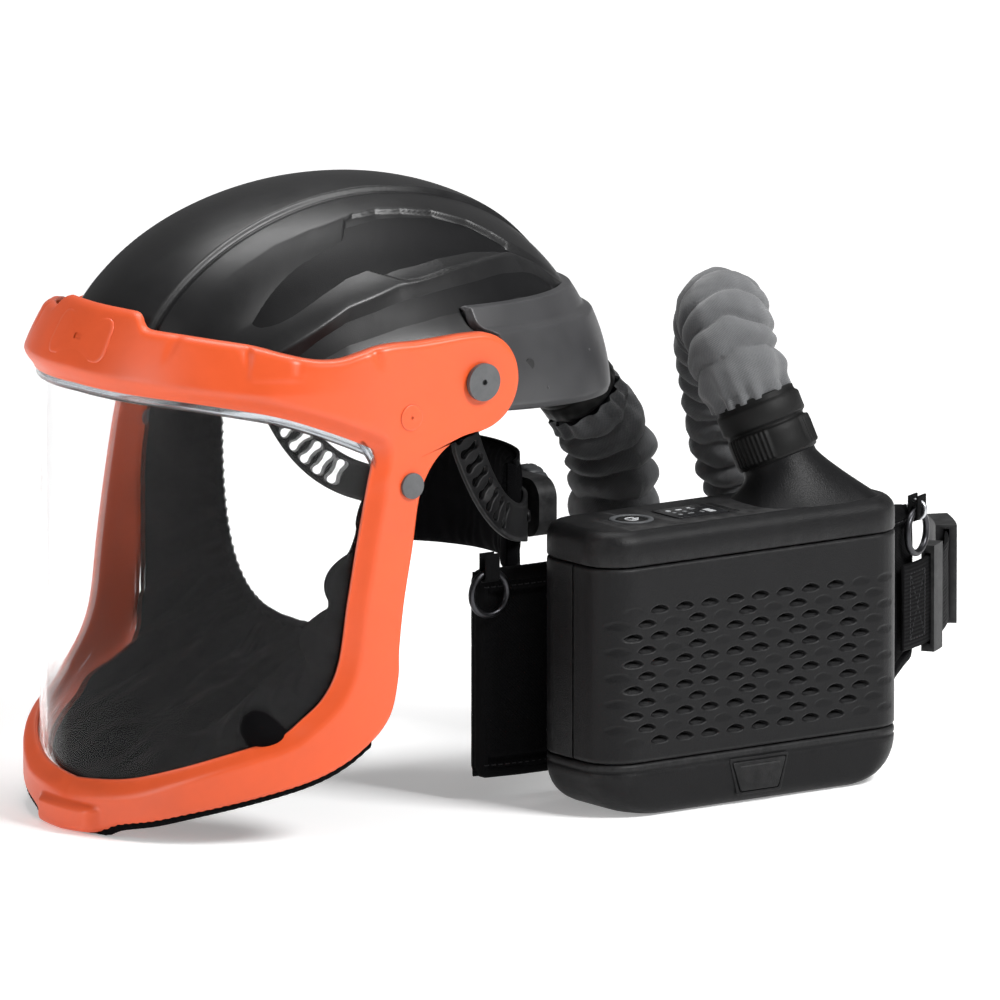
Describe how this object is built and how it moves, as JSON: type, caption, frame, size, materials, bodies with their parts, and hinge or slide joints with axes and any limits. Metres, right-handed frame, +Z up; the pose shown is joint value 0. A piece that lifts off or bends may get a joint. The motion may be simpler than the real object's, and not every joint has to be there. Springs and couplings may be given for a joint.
{
  "type": "powered air respirator",
  "caption": "Powered air respirator: hard-shell headtop with lifting wrap-round visor and face seal, sleeved breathing hose and a belt-worn filter blower.",
  "frame": {"origin": "the middle of the visor's hinge line, inside the head harness, where the wearer's head sits", "axes": "+Z up; the wearer faces -Y and their left side is +X; the blower stands to the back left with its filter side towards +X"},
  "size_m": [0.271, 0.5696, 0.3153],
  "materials": {
    "shell_plastic": "fine satin texture",
    "cover_plastic": "fine matte texture",
    "orange_plastic": "smooth satin",
    "clear_lens": "polished clear polycarbonate",
    "rubber": "matte",
    "grey_plastic": "satin",
    "harness_plastic": "satin",
    "seal_fabric": "black woven cloth",
    "pad_fabric": "black padded knit",
    "hose_fabric": "grey stretch cloth",
    "blower_plastic": "coarse matte texture",
    "steel": "plated",
    "filter_media": "pleated paper",
    "board": "lacquered",
    "cells": "shrink wrap",
    "gold_contact": "plated",
    "panel_film": "smooth film",
    "webbing": "woven nylon",
    "fan_plastic": "moulded"
  },
  "bodies": {
    "respirator": {"outer_shell": "shell_plastic", "crown_ridge": "shell_plastic", "rear_cover": "cover_plastic", "air_duct": "harness_plastic", "brow_trim": "rubber", "shell_screws": "steel", "hinge_pin_left": "grey_plastic", "hinge_pin_right": "grey_plastic", "hinge_washers": "steel", "face_seal": "seal_fabric", "headband": "harness_plastic", "sweatband": "pad_fabric", "crown_strap": "harness_plastic", "cross_strap": "harness_plastic", "band_rings": "grey_plastic", "hose_port": "harness_plastic", "breathing_hose": "hose_fabric", "blower_housing": "blower_plastic", "prefilter": "filter_media", "filter_cartridge": "filter_media", "filter_gasket": "rubber", "inlet_plate": "blower_plastic", "top_cap": "blower_plastic", "button_ring": "steel", "indicator_panel": "panel_film", "outlet_neck": "blower_plastic", "fan_scroll": "blower_plastic", "fan_motor": "steel", "circuit_board": "board", "blower_screws": "steel", "belt_bracket": "blower_plastic", "belt_pad": "pad_fabric", "belt_strap": "webbing", "buckle": "harness_plastic", "belt_ring": "harness_plastic", "strap_ring": "harness_plastic", "belt_rivets": "grey_plastic"},
    "visor": {"visor_frame": "orange_plastic", "lens": "clear_lens", "lens_seal": "rubber", "lens_studs": "grey_plastic"},
    "nape_cradle": {"nape_band": "harness_plastic", "nape_pad": "pad_fabric", "ratchet_housing": "harness_plastic"},
    "ratchet": {"ratchet_knob": "grey_plastic", "ratchet_pinion": "steel"},
    "port_cuff": {"hose_cuff": "rubber"},
    "collar": {"outlet_collar": "rubber"},
    "cover": {"filter_cover": "blower_plastic"},
    "battery": {"battery_case": "blower_plastic", "battery_cells": "cells", "battery_contacts": "gold_contact"},
    "latch": {"battery_latch": "blower_plastic"},
    "button": {"power_button": "grey_plastic"},
    "fan": {"impeller": "fan_plastic"},
    "slider": {"strap_slider": "harness_plastic"}
  },
  "joints": [
    {"name": "visor_tilt", "type": "hinge", "parent": "respirator", "child": "visor", "pos_m": [0, 0, 0], "axis": [-1, 0, 0], "range_deg": [0, 60], "deforming": ["face_seal"]},
    {"name": "nape_slide", "type": "slide", "parent": "respirator", "child": "nape_cradle", "axis": [0, -1, 0], "range_m": [0, 0.012]},
    {"name": "ratchet_turn", "type": "hinge", "parent": "nape_cradle", "child": "ratchet", "pos_m": [0, 0.0976, -0.09], "axis": [0, 1, 0], "range_deg": [0, 181]},
    {"name": "cuff_turn", "type": "hinge", "parent": "respirator", "child": "port_cuff", "pos_m": [0, 0.12, -0.008], "axis": [0, 0.6428, -0.766], "range_deg": [0, 45]},
    {"name": "collar_turn", "type": "hinge", "parent": "respirator", "child": "collar", "pos_m": [0.118, 0.193, -0.08], "axis": [-0.3345, -0.2079, 0.9192], "range_deg": [0, 45]},
    {"name": "cover_slide", "type": "slide", "parent": "respirator", "child": "cover", "axis": [1, 0, 0], "range_m": [0, 0.03]},
    {"name": "battery_slide", "type": "slide", "parent": "respirator", "child": "battery", "axis": [0, 0, -1], "range_m": [0, 0.045]},
    {"name": "latch_press", "type": "slide", "parent": "battery", "child": "latch", "axis": [-1, 0, 0], "range_m": [0, 0.0015], "stiffness_N_per_m": 600},
    {"name": "button_press", "type": "slide", "parent": "respirator", "child": "button", "axis": [0, 0, -1], "range_m": [0, 0.0008], "stiffness_N_per_m": 500},
    {"name": "fan_spin", "type": "hinge", "parent": "respirator", "child": "fan", "pos_m": [0.118, 0.186, -0.148], "axis": [1, 0, 0], "continuous": true},
    {"name": "slider_travel", "type": "hinge", "parent": "respirator", "child": "slider", "pos_m": [-0.0805, 0.24, -0.158], "axis": [0, 0, 1], "range_deg": [0, 12]}
  ],
  "couplings": [
    {"joint": "ratchet_turn", "follows": "nape_slide", "rad_per_m": 261.8}
  ]
}
